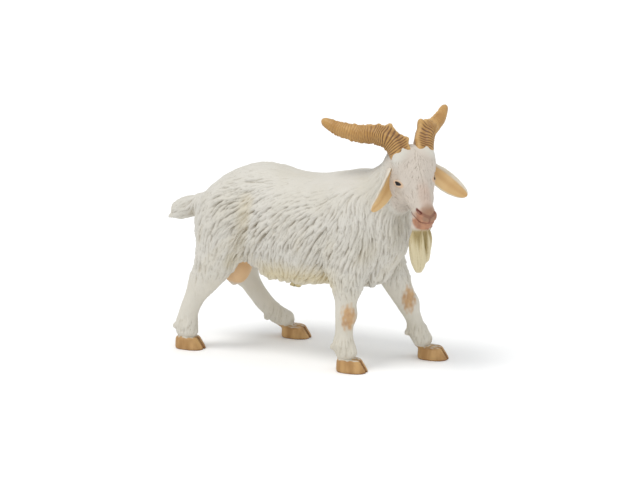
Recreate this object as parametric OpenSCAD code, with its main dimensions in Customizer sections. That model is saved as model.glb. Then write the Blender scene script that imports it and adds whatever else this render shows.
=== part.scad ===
// Moulded vinyl billy goat figurine, walking, with its head turned to its right.
// The figure is moulded in twelve pieces that push together on round pegs and are glued:
// torso, head, two horns, two ears, beard, tail and four legs.
// Millimetres, +Z up, +X towards the chest, the floor at Z = 0.

/* [Figure] */
// Height of the withers above the floor; every other size follows it
withers_height = 68; // [62:1:74]
// Half width of the barrel at its widest
barrel_half_width = 17; // [15:0.5:18]
// Angle the head is turned to the goat's right, in degrees
head_turn = 40; // [34:1:44]
// Angle the face points below level, in degrees
head_drop = 51; // [47:1:54]

/* [Ears and horns] */
// Drop of the right ear's tip below its root
ear_drop_right = 12.6; // [11:0.2:14]
// Drop of the left ear's tip below its root
ear_drop_left = 9.8; // [8:0.2:12]
// Turns that the horn's keel makes from root to tip
horn_twist = 0.55; // [0.3:0.05:0.8]

/* [Pegs] */
// Radius of the neck peg
neck_peg_r = 3.3; // [3:0.1:3.6]
// Radius of the leg pegs
leg_peg_r = 1.8; // [1.5:0.1:2.1]
// Radius of the horn pegs
horn_peg_r = 1.5; // [1.2:0.1:1.7]
// Radius of the beard and tail pegs
small_peg_r = 1.0; // [0.8:0.1:1.1]
// Radial gap between a peg and its socket, filled with glue
peg_gap = 0.06; // [0.04:0.01:0.1]

/* [Hidden] */

k = withers_height / 68;              // scale of the figure against its nominal size
datum = [-0.44, -4.57, 0];            // moves the figure so that its bounding box is centred
coat = "ivory";
horn_colour = "peru";
skin_colour = "burlywood";

limb_sides = 28;
skull_sides = 26;
barrel_sides = 40;
horn_sides = 24;
ear_sides = 20;
rings_per_station = 4;
socket_extra = 0.4;                   // a socket is this much deeper than its peg is long

// Barrel from rump to chest: x, height of the back, height of the belly, share of the half width.
barrel_profile = [
    [-43.0, 49.5, 43.5, 0.22], [-41.2, 52.6, 38.0, 0.48], [-37.0, 56.9, 33.5, 0.70],
    [-30.5, 62.6, 31.0, 0.86], [-20.5, 66.8, 29.8, 0.93], [-12.5, 67.0, 27.4, 0.98],
    [-4.0, 65.4, 26.2, 1.00], [5.0, 65.3, 26.6, 1.00], [14.0, 67.0, 28.0, 0.97],
    [22.0, 68.2, 29.2, 0.90], [28.0, 65.5, 31.5, 0.77], [32.0, 60.0, 35.5, 0.58],
    [34.5, 53.0, 42.0, 0.28]
];

// Neck: centre, half height, half width. The third station is the seat of the head.
neck_stations = [
    [17, 0, 50, 14.5, 14], [25.5, -0.4, 57.0, 12.6, 11.6], [31.8, -1.8, 62.6, 10.6, 9.6],
    [36.5, -3.3, 66.6, 8.6, 8.0], [40.0, -4.8, 69.6, 6.4, 6.4]
];
neck_seat = 2;

// Skull along the face from poll to lips: x, forehead side, jaw side, half width.
skull_profile = [
    [-5.6, -5.4, -8.8, 3.0], [-4.4, -1.6, -11.4, 5.4], [-2.0, 1.0, -12.8, 7.0], [1.5, 2.0, -13.2, 7.7],
    [5.0, 1.6, -12.9, 7.6], [8.2, 1.0, -12.2, 6.9], [11.0, 0.2, -11.2, 5.7], [13.8, -0.6, -10.0, 4.5],
    [16.8, -1.2, -9.3, 3.7], [19.6, -1.5, -8.9, 3.3], [22.2, -2.1, -8.7, 3.1], [23.8, -3.2, -8.2, 2.6],
    [24.8, -4.7, -7.2, 1.4]
];
poll = [42.2, -5.0, 76.6];            // top of the head between the horns

// Raised features on each side of the face, each between two balls: along, across, out and radius.
brow = [[5.6, 4.4, 0.2, 1.5], [8.0, 6.0, -1.7, 1.1]];
cheek = [[7.6, 4.7, -7.8, 2.5], [11.2, 3.5, -8.0, 1.8]];
eye = [[7.7, 5.9, -3.8, 1.3], [9.2, 5.6, -4.1, 1.2]];
nostril = [[22.2, 1.3, -3.3, 1.2], [23.2, 1.9, -4.6, 1.1]];

// Right horn from its root, in the turned head's level frame: centre and mean radius.
horn_stations = [
    [0.4, -3.9, -4.2, 3.4], [-1.2, -4.5, 0.4, 3.8], [-4.0, -6.4, 4.3, 3.6], [-8.2, -9.8, 5.7, 3.3],
    [-12.1, -13.5, 5.7, 3.1], [-16.9, -18.7, 7.1, 2.7], [-20.3, -22.1, 9.0, 2.0], [-22.1, -23.9, 10.5, 1.2]
];
horn_keel = 0.22;                     // height of the keel as a share of the radius

// Ear: share of the length, half width, half thickness.
ear_shape = [[0, 2.0, 1.3], [0.15, 2.8, 1.3], [0.4, 3.4, 1.1], [0.65, 3.1, 0.95], [0.87, 2.1, 0.8], [1, 0.5, 0.3]];
ear_reach_right = [3.6, 9.6];         // forwards and outwards from root to tip
ear_reach_left = [5.0, 12.4];
ear_facing = [0.94, 0.34, 0];         // the hollow side looks forwards and a little inwards
ear_root = [3.3, 6.9, -4.8];          // inside the side of the skull

// Beard: centre, half depth, half width across the chin.
beard_stations = [
    [47.6, -9.8, 57.0, 1.8, 2.6], [47.7, -9.8, 52.4, 2.6, 3.9], [47.3, -9.5, 48.2, 2.7, 4.4],
    [46.9, -9.2, 43.6, 2.2, 3.6], [46.6, -9.0, 39.8, 1.5, 2.1], [46.4, -8.9, 37.2, 0.5, 0.6]
];

// Pouch between the rear legs: centre, half depth, half width.
pouch_stations = [
    [-27.6, 0, 36, 4.0, 4.0], [-28.0, 0, 31, 5.0, 4.8], [-28.4, 0, 27, 5.2, 4.9], [-28.6, 0, 24.6, 3.6, 3.4],
    [-28.6, 0, 23.7, 1.0, 1.0]
];

// Tail: centre, half height, half width. The second station is its seat.
tail_stations = [
    [-35.0, 0, 51.6, 4.4, 4.6], [-44.2, 0, 49.8, 3.8, 3.9], [-47.2, 0, 49.0, 3.7, 3.6],
    [-50.5, 0, 48.0, 3.4, 3.0], [-54.0, 0, 46.6, 2.7, 2.2], [-55.8, 0, 45.8, 0.9, 0.8]
];
tail_seat = 1;

// Each leg from inside the barrel to the pastern: centre, half depth fore and aft, half width.
// The seat is the station where the leg plugs into the torso.
leg_front_right_stations = [
    [19, -9.0, 48, 8.5, 5.5], [20.6, -11.2, 38, 7.2, 5.6], [21.4, -13.0, 30, 5.0, 4.4],
    [21.5, -13.8, 24.5, 3.8, 3.5], [21.4, -14.2, 19.5, 3.4, 3.3], [21.1, -14.4, 13.8, 3.1, 2.8],
    [21.0, -14.6, 9.2, 3.5, 3.0], [22.2, -14.7, 6.4, 3.8, 3.2]
];
leg_front_left_stations = [
    [19, 9.0, 48, 8.5, 5.5], [23.4, 10.3, 38, 7.4, 5.6], [27.4, 11.2, 30, 5.4, 4.6],
    [30.6, 11.7, 24.2, 4.7, 4.0], [33.6, 11.9, 18.6, 3.7, 3.4], [35.9, 12.1, 13.8, 2.9, 2.8],
    [37.4, 12.1, 9.6, 3.1, 2.9], [39.4, 12.1, 6.4, 3.5, 3.1]
];
leg_rear_right_stations = [
    [-26, -8.5, 50, 11.0, 7.0], [-28.6, -10.6, 40, 9.0, 6.6], [-31.6, -12.2, 31, 6.6, 4.8],
    [-34.6, -12.9, 25.6, 5.4, 3.8], [-38.0, -13.2, 20, 3.9, 3.1], [-40.6, -13.4, 14.2, 3.5, 2.9],
    [-41.8, -13.4, 9.2, 3.8, 3.0], [-41.6, -13.4, 6.4, 4.1, 3.2]
];
leg_rear_left_stations = [
    [-24, 8.0, 48, 10.5, 7.0], [-27.6, 9.8, 38, 8.6, 6.4], [-31.0, 11.6, 29, 6.2, 4.8],
    [-31.2, 12.9, 23, 4.6, 3.8], [-28.6, 13.9, 17.2, 3.7, 3.1], [-24.2, 14.8, 11.6, 3.4, 2.9],
    [-20.0, 15.5, 7.9, 3.4, 3.0], [-16.6, 15.9, 6.2, 3.6, 3.2]
];
leg_seat = 2;
peg_length = 6;
neck_peg_length = 8;
small_peg_length = 3;

// Hoof: centre under each leg, and its outline at four heights (front, rear, half width, depth of cleft).
hoof_outline = [
    [4.4, 3.9, 3.7, 3.5, 0.25], [3.0, 4.8, 3.9, 3.8, 0.9], [1.0, 6.2, 4.0, 4.0, 1.4], [0, 6.6, 3.9, 3.8, 1.5]
];
hoof_front_right = [23.1, -14.8];
hoof_front_left = [42.3, 12.1];
hoof_rear_right = [-41.6, -13.4];
hoof_rear_left = [-13.6, 16.1];

// ---- Curves and skins ----

function unit(v) = v / norm(v);

function place(st) = [st[0], st[1], st[2]];

// Catmull-Rom curve through a list of stations, at parameter t.
function curve(p, t) =
    let (n = len(p) - 1, i = min(floor(t), n - 1), f = t - i,
         a = p[max(i - 1, 0)], b = p[i], c = p[i + 1], d = p[min(i + 2, n)])
    0.5 * (2 * b + (c - a) * f + (2 * a - 5 * b + 4 * c - d) * f * f + (3 * b - a - 3 * c + d) * f * f * f);

function faired(p, per = rings_per_station) =
    [for (i = [0 : (len(p) - 1) * per]) curve(p, i / per)];

function tangent(s, i) = unit(place(s[min(i + 1, len(s) - 1)]) - place(s[max(i - 1, 0)]));

// Ring of a limb: half depth along the reference direction, half width across it.
function limb_ring(st, t, ref, sides) =
    let (f = unit(ref - (ref * t) * t), s = cross(t, f))
    [for (j = [0 : sides - 1]) let (a = 360 * j / sides)
        k * (place(st) + f * (st[3] * cos(a)) + s * (st[4] * sin(a)))];

function limb_rings(stations, ref, sides = limb_sides) =
    let (s = faired(stations))
    [for (i = [0 : len(s) - 1]) limb_ring(s[i], tangent(s, i), ref, sides)];

function signed_power(v, e) = sign(v) * pow(abs(v), e);

// Ring of a body that runs along X: [x, top, bottom, half width].
function profile_ring(st, sides, fullness) =
    let (middle = (st[1] + st[2]) / 2, half = (st[1] - st[2]) / 2)
    [for (j = [0 : sides - 1]) let (a = 360 * j / sides)
        k * [st[0], st[3] * signed_power(cos(a), fullness), middle + half * signed_power(sin(a), fullness)]];

function slice(list, from, to) = [for (i = [from : to]) list[i]];

module skin(rings) {
    n = len(rings[0]);
    last = len(rings) - 1;
    sides = [for (r = [0 : last - 1], j = [0 : n - 1])
        let (a = r * n + j, b = r * n + (j + 1) % n, c = b + n, d = a + n) each [[a, d, c], [a, c, b]]];
    first_cap = [[for (j = [0 : n - 1]) j]];
    last_cap = [[for (j = [n - 1 : -1 : 0]) last * n + j]];
    polyhedron([for (r = rings) each r], concat(sides, first_cap, last_cap));
}

// Turns +Z to a direction and moves the origin to a point.
module along(point, direction) {
    d = unit(direction);
    translate(point) rotate([0, acos(d[2]), atan2(d[1], d[0])]) children();
}

module peg(point, direction, r, length) {
    along(point - 0.5 * unit(direction), direction) cylinder(r = r, h = length + 0.5, $fn = 36);
}

module socket(point, direction, r, length) {
    along(point - unit(direction), direction)
        cylinder(r = r + peg_gap, h = length + 1 + socket_extra, $fn = 36);
}

// Two rings of a peg that stands on the first ring of a body, so that body and peg are one skin.
function stem(rings, r, length) =
    let (ring = rings[0], n = len(ring), c = [for (p = ring) 1] * ring / n,
         d = unit(cross(ring[0] - c, ring[floor(n / 4)] - c)),
         out = d * (rings[1][0] - ring[0]) > 0 ? -d : d)
    [for (l = [length, 0]) [for (p = ring) c + l * out + r * unit(p - c)]];

module pegged(rings, r, length) {
    skin(concat(stem(rings, r, length), rings));
}

module pocket(rings, r, length) {
    pegged(rings, r + peg_gap, length + socket_extra);
}

// ---- Seats, from the same stations as the pieces that they join ----

function seat_point(stations, seat) = k * place(stations[seat]);
function seat_direction(stations, seat) =
    -tangent(faired(stations), seat * rings_per_station);

module leg_socket(stations) {
    socket(seat_point(stations, leg_seat), seat_direction(stations, leg_seat), leg_peg_r, peg_length);
}

module stump(stations, seat, ref) {
    skin(slice(limb_rings(stations, ref), 0, seat * rings_per_station));
}

// ---- Frames of the head ----

module level_head() {
    translate(k * poll) rotate([0, 0, -head_turn]) children();
}

module face() {
    level_head() rotate([0, head_drop, 0]) children();
}

module bulge(ends, side) {
    hull() for (e = ends) translate(k * [e[0], side * e[1], e[2]]) sphere(r = k * e[3], $fn = 16);
}

module mirrored_if(yes) {
    if (yes) mirror([0, 1, 0]) children(); else children();
}

beard_across = [cos(head_turn), -sin(head_turn), 0];

// ---- Pieces ----

module torso() {
    color(coat) difference() {
        union() {
            skin([for (st = faired(barrel_profile, 3)) profile_ring([st[0], st[1], st[2], st[3] * barrel_half_width],
                                                                  barrel_sides, 0.9)]);
            stump(leg_front_right_stations, leg_seat, [1, 0, 0]);
            stump(leg_front_left_stations, leg_seat, [1, 0, 0]);
            stump(leg_rear_right_stations, leg_seat, [1, 0, 0]);
            stump(leg_rear_left_stations, leg_seat, [1, 0, 0]);
            stump(neck_stations, neck_seat, [0, 0, 1]);
            stump(tail_stations, tail_seat, [0, 0, 1]);
            skin(limb_rings(pouch_stations, [1, 0, 0]));
        }
        leg_socket(leg_front_right_stations);
        leg_socket(leg_front_left_stations);
        leg_socket(leg_rear_right_stations);
        leg_socket(leg_rear_left_stations);
        socket(seat_point(neck_stations, neck_seat), seat_direction(neck_stations, neck_seat), neck_peg_r, neck_peg_length);
        socket(seat_point(tail_stations, tail_seat), seat_direction(tail_stations, tail_seat), small_peg_r, peg_length);
    }
}

module leg(stations, hoof) {
    limb = limb_rings(stations, [1, 0, 0]);
    hoof_rings = [for (h = hoof_outline) [for (j = [0 : limb_sides - 1]) let (a = 360 * j / limb_sides)
        k * [hoof[0] + (cos(a) > 0 ? h[1] : h[2]) * cos(a) - (j == 0 ? h[4] : 0), hoof[1] - h[3] * sin(a), h[0]]]];
    color(coat) union() {
        skin(concat(slice(limb, leg_seat * rings_per_station, len(limb) - 1), hoof_rings));
        peg(seat_point(stations, leg_seat), seat_direction(stations, leg_seat), leg_peg_r, peg_length);
    }
}

module leg_front_right() { leg(leg_front_right_stations, hoof_front_right); }
module leg_front_left() { leg(leg_front_left_stations, hoof_front_left); }
module leg_rear_right() { leg(leg_rear_right_stations, hoof_rear_right); }
module leg_rear_left() { leg(leg_rear_left_stations, hoof_rear_left); }

module tail() {
    rings = limb_rings(tail_stations, [0, 0, 1]);
    color(coat) union() {
        skin(slice(rings, tail_seat * rings_per_station, len(rings) - 1));
        peg(seat_point(tail_stations, tail_seat), seat_direction(tail_stations, tail_seat), small_peg_r, peg_length);
    }
}

module head() {
    neck = limb_rings(neck_stations, [0, 0, 1]);
    color(coat) difference() {
        union() {
            pegged(slice(neck, neck_seat * rings_per_station, len(neck) - 1), neck_peg_r, neck_peg_length);
            face() skin([for (st = faired(skull_profile, 2)) profile_ring(st, skull_sides, 0.88)]);
            for (side = [-1, 1]) face() {
                bulge(brow, side);
                bulge(cheek, side);
                bulge(eye, side);
                bulge(nostril, side);
            }
        }
        for (left = [false, true]) level_head() mirrored_if(left) {
            pocket(horn_rings(), horn_peg_r, small_peg_length);
            skin(ear_rings(left));
        }
        pocket(limb_rings(beard_stations, beard_across), small_peg_r, small_peg_length);
    }
}

// Horn ring with a keel that turns along the horn.
function horn_rings() =
    let (s = faired(horn_stations, 3))
    [for (i = [0 : len(s) - 1])
        let (t = tangent(s, i), f = unit([1, 0, 0] - (t[0]) * t), side = cross(t, f),
             keel = 360 * horn_twist * i / (len(s) - 1))
        [for (j = [0 : horn_sides - 1])
            let (a = 360 * j / horn_sides, r = s[i][3] * (0.93 + horn_keel * pow(max(cos(a - keel), 0), 3)))
            k * (place(s[i]) + r * (f * cos(a) + side * sin(a)))]];

module horn(left) {
    color(horn_colour) level_head() mirrored_if(left) pegged(horn_rings(), horn_peg_r, small_peg_length);
}

module horn_right() { horn(false); }
module horn_left() { horn(true); }

// Ear in the level head frame, on the goat's right side; the left one is mirrored.
function ear_axis(left) = left ? [ear_reach_left[0], -ear_reach_left[1], -ear_drop_left]
                               : [ear_reach_right[0], -ear_reach_right[1], -ear_drop_right];
function ear_root_level() =
    let (c = cos(head_drop), s = sin(head_drop))
    k * [ear_root[0] * c + ear_root[2] * s, -ear_root[1], -ear_root[0] * s + ear_root[2] * c];
function ear_rings(left) =
    let (axis = ear_axis(left), d = unit(axis), broad = unit(cross(d, ear_facing)), thin = cross(broad, d))
    [for (e = faired(ear_shape, 3)) [for (j = [0 : ear_sides - 1]) let (a = 360 * j / ear_sides)
        ear_root_level() + k * (axis * e[0] + thin * (e[2] * cos(a)) + broad * (e[1] * sin(a)))]];

module ear(left) {
    color(skin_colour) level_head() mirrored_if(left) skin(ear_rings(left));
}

module ear_right() { ear(false); }
module ear_left() { ear(true); }

module beard() {
    color(coat) pegged(limb_rings(beard_stations, beard_across), small_peg_r, small_peg_length);
}

translate(k * datum) {
    torso();
    head();
    horn_right();
    horn_left();
    ear_right();
    ear_left();
    beard();
    tail();
    leg_front_right();
    leg_front_left();
    leg_rear_right();
    leg_rear_left();
}
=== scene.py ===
# Looks of the painted vinyl billy goat. Everything is built in millimetres in the part's frame
# and scaled to metres.
import math

import bpy
import numpy as np
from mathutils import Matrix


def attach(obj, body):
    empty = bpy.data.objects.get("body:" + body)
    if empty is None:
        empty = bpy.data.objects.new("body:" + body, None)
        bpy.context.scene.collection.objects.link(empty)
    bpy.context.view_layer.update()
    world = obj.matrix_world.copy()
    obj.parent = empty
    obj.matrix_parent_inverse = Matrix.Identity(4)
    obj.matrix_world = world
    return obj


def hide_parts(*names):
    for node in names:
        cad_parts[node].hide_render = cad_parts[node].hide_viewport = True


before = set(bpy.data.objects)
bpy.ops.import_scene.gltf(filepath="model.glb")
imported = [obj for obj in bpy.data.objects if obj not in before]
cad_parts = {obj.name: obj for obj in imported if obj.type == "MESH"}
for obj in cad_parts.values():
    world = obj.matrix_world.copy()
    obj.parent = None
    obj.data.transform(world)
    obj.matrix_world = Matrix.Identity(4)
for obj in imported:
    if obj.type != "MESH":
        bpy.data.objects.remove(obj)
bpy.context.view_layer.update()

import openvdb
from mathutils import Vector

MM = 0.001
VOXEL = 0.27
DATUM = np.array([-0.44, -4.57, 0.0])
HEAD_TURN = math.radians(40)
HEAD_DROP = math.radians(51)
POLL = np.array([42.2, -5.0, 76.6]) + DATUM
rng = np.random.default_rng(7)

# ---------------- stations, close to the CAD part's

# Barrel and skull: place along the axis, top, bottom, half width. The others: centre, half sizes.

BARREL = [
    [-41.8, 49.5, 43.5, 0.22], [-40.2, 52.6, 38.0, 0.48], [-37.0, 56.9, 33.5, 0.70],
    [-30.5, 62.6, 32.4, 0.86], [-20.5, 66.8, 31.0, 0.93], [-12.5, 67.0, 28.6, 0.98],
    [-4.0, 65.4, 27.2, 1.00], [5.0, 65.3, 27.6, 1.00], [14.0, 67.0, 28.8, 0.97],
    [22.0, 68.2, 29.2, 0.90], [28.0, 65.5, 31.5, 0.77], [32.0, 60.0, 35.5, 0.58],
    [34.5, 53.0, 42.0, 0.28],
]
BARREL_HALF = 17.0
NECK = [[17, 0, 50, 14.0, 14], [25.5, -0.4, 56.0, 11.4, 11.6], [31.8, -1.8, 61.4, 9.6, 9.6],
        [36.8, -3.4, 66.0, 8.2, 8.0], [40.0, -4.8, 69.4, 6.4, 6.4]]
SKULL = [
    [-5.6, -5.4, -8.8, 3.0], [-4.4, -1.6, -11.4, 5.4], [-2.0, 1.0, -12.8, 7.0], [1.5, 2.0, -13.2, 7.7],
    [5.0, 1.6, -12.9, 7.6], [8.2, 1.0, -12.2, 6.9], [11.0, 0.2, -11.2, 5.7], [13.8, -0.6, -10.0, 4.5],
    [16.8, -1.2, -9.3, 3.7], [19.6, -1.5, -8.9, 3.3], [22.2, -2.1, -8.7, 3.1], [23.8, -3.2, -8.2, 2.6],
    [24.8, -4.7, -7.2, 1.4],
]
HORN = [[0.4, -3.9, -4.2, 3.4], [-1.2, -4.5, 0.4, 3.8], [-4.0, -6.4, 4.3, 3.6],
        [-8.2, -9.8, 5.7, 3.3], [-12.1, -13.5, 5.7, 3.1], [-16.9, -18.7, 7.1, 2.7],
        [-20.3, -22.1, 9.0, 2.0], [-22.1, -23.9, 10.5, 1.2]]
BEARD = [[47.6, -9.8, 57.0, 1.8, 2.6], [47.7, -9.8, 52.4, 2.6, 3.9], [47.3, -9.5, 48.2, 2.7, 4.4],
         [46.9, -9.2, 43.6, 2.2, 3.6], [46.6, -9.0, 39.8, 1.5, 2.1], [46.4, -8.9, 37.2, 0.5, 0.6]]
TAIL = [[-35.0, 0, 51.6, 4.4, 4.6], [-43.2, 0, 49.8, 3.8, 3.9], [-46.2, 0, 49.0, 3.8, 3.6],
        [-49.4, 0, 48.0, 3.6, 3.0], [-52.0, 0, 46.8, 3.0, 2.3], [-53.4, 0, 46.2, 1.2, 0.9]]
POUCH = [[-26.6, 0, 37, 5.0, 4.6], [-27.4, -0.4, 32, 5.8, 5.2], [-28.2, -0.6, 28, 5.3, 5.0],
         [-28.6, -0.6, 25.4, 3.6, 3.4], [-28.6, -0.6, 24.5, 1.0, 1.0]]
# In front of the thigh: place on the left side, one radius.
FOLD = [[-15.4, 14.4, 60.0, 0.5], [-15.9, 15.7, 57.3, 1.4], [-16.7, 17.1, 51.9, 2.0],
        [-18.0, 17.1, 44.6, 2.2], [-20.2, 15.7, 36.8, 2.1], [-22.5, 14.1, 33.0, 1.5]]
# Each leg from the shoulder or hip down, then the middle of its hoof.
LEGS = {
    "leg_front_right": ([
        [19, -9.0, 48, 8.5, 5.5], [20.6, -11.2, 38, 7.2, 5.6], [21.4, -13.0, 30, 5.0, 4.4],
        [21.5, -13.8, 24.5, 3.8, 3.5], [21.4, -14.2, 19.5, 3.4, 3.3], [21.1, -14.4, 13.8, 3.1, 2.8],
        [21.0, -14.6, 9.2, 3.5, 3.0], [22.2, -14.7, 6.4, 3.8, 3.2]], (23.1, -14.8)),
    "leg_front_left": ([
        [19, 9.0, 48, 8.5, 5.5], [23.4, 10.3, 38, 7.4, 5.6], [27.4, 11.2, 30, 5.4, 4.6],
        [30.6, 11.7, 24.2, 4.7, 4.0], [33.6, 11.9, 18.6, 3.7, 3.4], [35.9, 12.1, 13.8, 2.9, 2.8],
        [37.4, 12.1, 9.6, 3.1, 2.9], [39.4, 12.1, 6.4, 3.5, 3.1]], (42.3, 12.1)),
    "leg_rear_right": ([
        [-26, -8.5, 50, 11.0, 7.0], [-28.6, -10.6, 40, 9.0, 6.6], [-31.6, -12.2, 31, 6.6, 4.8],
        [-34.6, -12.9, 25.6, 5.4, 3.8], [-38.0, -13.2, 20, 3.9, 3.1], [-40.6, -13.4, 14.2, 3.5, 2.9],
        [-41.8, -13.4, 9.2, 3.8, 3.0], [-41.6, -13.4, 6.4, 4.1, 3.2]], (-41.6, -13.4)),
    "leg_rear_left": ([
        [-24, 8.0, 48, 10.5, 7.0], [-27.6, 9.8, 38, 8.6, 6.4], [-31.0, 11.6, 29, 6.2, 4.8],
        [-31.2, 12.9, 23, 4.6, 3.8], [-28.6, 13.9, 17.2, 3.7, 3.1], [-24.2, 14.8, 11.6, 3.4, 2.9],
        [-20.0, 15.5, 7.9, 3.4, 3.0], [-16.6, 15.9, 6.2, 3.6, 3.2]], (-13.6, 16.1)),
}
# Height, front, rear and half width of a hoof.
HOOF = [[4.4, 3.9, 3.7, 3.5], [3.0, 4.8, 3.9, 3.8], [1.0, 6.2, 4.0, 4.0], [0.0, 6.6, 3.9, 3.8]]
# The stations at which the moulded pieces meet.
LEG_SEAT, NECK_SEAT, TAIL_SEAT = 2, 2, 1


def unit(v):
    v = np.asarray(v, float)
    return v / np.maximum(np.linalg.norm(v, axis=-1, keepdims=True), 1e-9)


def fair(stations, per=5):
    """Catmull-Rom points through the stations."""
    p = np.asarray(stations, float)
    n = len(p) - 1
    out = []
    for i in range(n * per + 1):
        t = i / per
        j = min(int(t), n - 1)
        f = t - j
        a, b, c, d = p[max(j - 1, 0)], p[j], p[j + 1], p[min(j + 2, n)]
        line = 2 * b + (c - a) * f
        out.append(0.5 * (line + (2 * a - 5 * b + 4 * c - d) * f * f + (3 * b - a - 3 * c + d) * f**3))
    return np.array(out)


# Frames of the head: the level one turns with the head, the face one also drops along the face.
FORE = np.array([math.cos(HEAD_TURN), -math.sin(HEAD_TURN), 0.0])
LEFT = np.array([math.sin(HEAD_TURN), math.cos(HEAD_TURN), 0.0])
UP = np.array([0.0, 0.0, 1.0])
ALONG = FORE * math.cos(HEAD_DROP) - UP * math.sin(HEAD_DROP)
BROW = FORE * math.sin(HEAD_DROP) + UP * math.cos(HEAD_DROP)
LEVEL_AXES = np.array([FORE, LEFT, UP])
FACE_AXES = np.array([ALONG, LEFT, BROW])


def to_face(p):
    return (np.asarray(p, float) - POLL) @ FACE_AXES.T


def from_face(p):
    return POLL + np.asarray(p, float) @ FACE_AXES


def from_level(p):
    return POLL + np.asarray(p, float) @ LEVEL_AXES


# ---------------- a distance field in a voxel grid

LO = np.array([-60.0, -25.0, -3.0])
HI = np.array([58.0, 20.0, 82.0])
SHAPE = tuple(int(v) for v in np.ceil((HI - LO) / VOXEL))
FAR = 4.0
THINNEST = 0.05
field = np.full(SHAPE, FAR, np.float32)
AXES = [(LO[i] + VOXEL * np.arange(SHAPE[i])).astype(np.float32) for i in range(3)]


def window(lo, hi):
    """The voxels of a box, as slices and as grids of places."""
    a = np.clip(np.floor((np.asarray(lo) - LO) / VOXEL).astype(int), 0, None)
    b = np.minimum(np.ceil((np.asarray(hi) - LO) / VOXEL).astype(int) + 1, SHAPE)
    sl = tuple(slice(a[i], b[i]) for i in range(3))
    grids = np.meshgrid(*[AXES[i][sl[i]] for i in range(3)], indexing="ij")
    return sl, grids


def blend_in(sl, d, k, cut=False):
    """Smooth union, or smooth cut, of a distance d into the field."""
    g = field[sl]
    d = np.clip(d, -FAR, FAR)
    if cut:
        h = np.clip(k - np.abs(g + d), 0, None) / k
        field[sl] = np.maximum(g, -d) + h * h * k * 0.25
    else:
        h = np.clip(k - np.abs(g - d), 0, None) / k
        field[sl] = np.minimum(g, d) - h * h * k * 0.25


def add_limb(stations, ref, k=1.5, per=4, cut=False):
    """Elliptical limb: each station is centre, half size along ref, half size across it."""
    s = fair(stations, per)
    c, r = s[:, :3], s[:, 3:5]
    pad = r.max() + k + 0.8
    sl, (X, Y, Z) = window(c.min(0) - pad, c.max(0) + pad)
    best = np.full(X.shape, 1e3, np.float32)
    for i in range(len(c) - 1):
        a, b = c[i], c[i + 1]
        ab = b - a
        t = unit(ab)
        f = unit(np.asarray(ref, float) - np.dot(ref, t) * t)
        w = np.cross(t, f)
        seg_pad = r[i:i + 2].max() + k + 1.2
        near, _ = window(np.minimum(a, b) - seg_pad, np.maximum(a, b) + seg_pad)
        u = tuple(slice(max(m.start - n.start, 0), max(min(m.stop, n.stop) - n.start, 0))
                  for m, n in zip(near, sl))
        x, y, z = X[u] - a[0], Y[u] - a[1], Z[u] - a[2]
        h = np.clip((x * ab[0] + y * ab[1] + z * ab[2]) / np.dot(ab, ab), 0, 1)
        x, y, z = x - h * ab[0], y - h * ab[1], z - h * ab[2]
        ra, rb = [np.maximum(r[i, m] + h * (r[i + 1, m] - r[i, m]), THINNEST) for m in (0, 1)]
        rt = np.minimum(ra, rb)
        p = (x * f[0] + y * f[1] + z * f[2]) / ra
        q = (x * w[0] + y * w[1] + z * w[2]) / rb
        o = (x * t[0] + y * t[1] + z * t[2]) / rt
        n1 = np.sqrt(p * p + q * q + o * o) + 1e-6
        n2 = np.sqrt((p / ra) ** 2 + (q / rb) ** 2 + (o / rt) ** 2) + 1e-6
        best[u] = np.minimum(best[u], n1 * (n1 - 1.0) / n2)
    blend_in(sl, best, k, cut)


def add_ball(centre, radii, axes=np.eye(3), k=1.0, cut=False):
    """Ellipsoid with its own axes."""
    centre = np.asarray(centre, float)
    radii = np.broadcast_to(np.asarray(radii, float), (3,))
    pad = radii.max() + k + 0.8
    sl, (X, Y, Z) = window(centre - pad, centre + pad)
    X, Y, Z = X - centre[0], Y - centre[1], Z - centre[2]
    q = [(X * a[0] + Y * a[1] + Z * a[2]) / r for a, r in zip(axes, radii)]
    n1 = np.sqrt(q[0] ** 2 + q[1] ** 2 + q[2] ** 2) + 1e-6
    n2 = np.sqrt((q[0] / radii[0]) ** 2 + (q[1] / radii[1]) ** 2 + (q[2] / radii[2]) ** 2) + 1e-6
    blend_in(sl, n1 * (n1 - 1.0) / n2, k, cut)


def add_profile(stations, origin, axes, half_scale=1.0, fullness=0.9, k=1.5, pad=4.0):
    """Body along one axis whose top, bottom and half width change along it."""
    s = fair(stations, 6)
    s = s[np.argsort(s[:, 0])]
    wide = s[:, 3].max() * half_scale
    corners = [origin + np.array([a, b, c]) @ axes for a in (s[0, 0], s[-1, 0])
               for b in (-wide, wide) for c in (s[:, 1].max(), s[:, 2].min())]
    sl, (X, Y, Z) = window(np.min(corners, 0) - pad, np.max(corners, 0) + pad)
    X, Y, Z = X - origin[0], Y - origin[1], Z - origin[2]
    u, v, w = [X * a[0] + Y * a[1] + Z * a[2] for a in axes]
    top, bottom = np.interp(u, s[:, 0], s[:, 1]), np.interp(u, s[:, 0], s[:, 2])
    half = np.interp(u, s[:, 0], s[:, 3]) * half_scale
    over = np.maximum(np.maximum(s[0, 0] - u, u - s[-1, 0]), 0)
    mid, tall = (top + bottom) / 2, (top - bottom) / 2
    e = 2 / fullness
    n = (np.abs(v / half) ** e + np.abs((w - mid) / tall) ** e) ** (1 / e)
    d = (n - 1) * np.minimum(half, tall)
    grad = np.sqrt(sum(g * g for g in np.gradient(d.astype(np.float32), VOXEL)))
    d = d / np.maximum(grad, 0.6)
    d = np.sqrt(np.maximum(d, 0) ** 2 + over**2) + np.minimum(d, 0)
    blend_in(sl, d.astype(np.float32), k)


def shifted(stations):
    """Stations moved to where the part stands."""
    s = np.array(stations, float)
    s[:, :3] += DATUM
    return s


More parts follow.
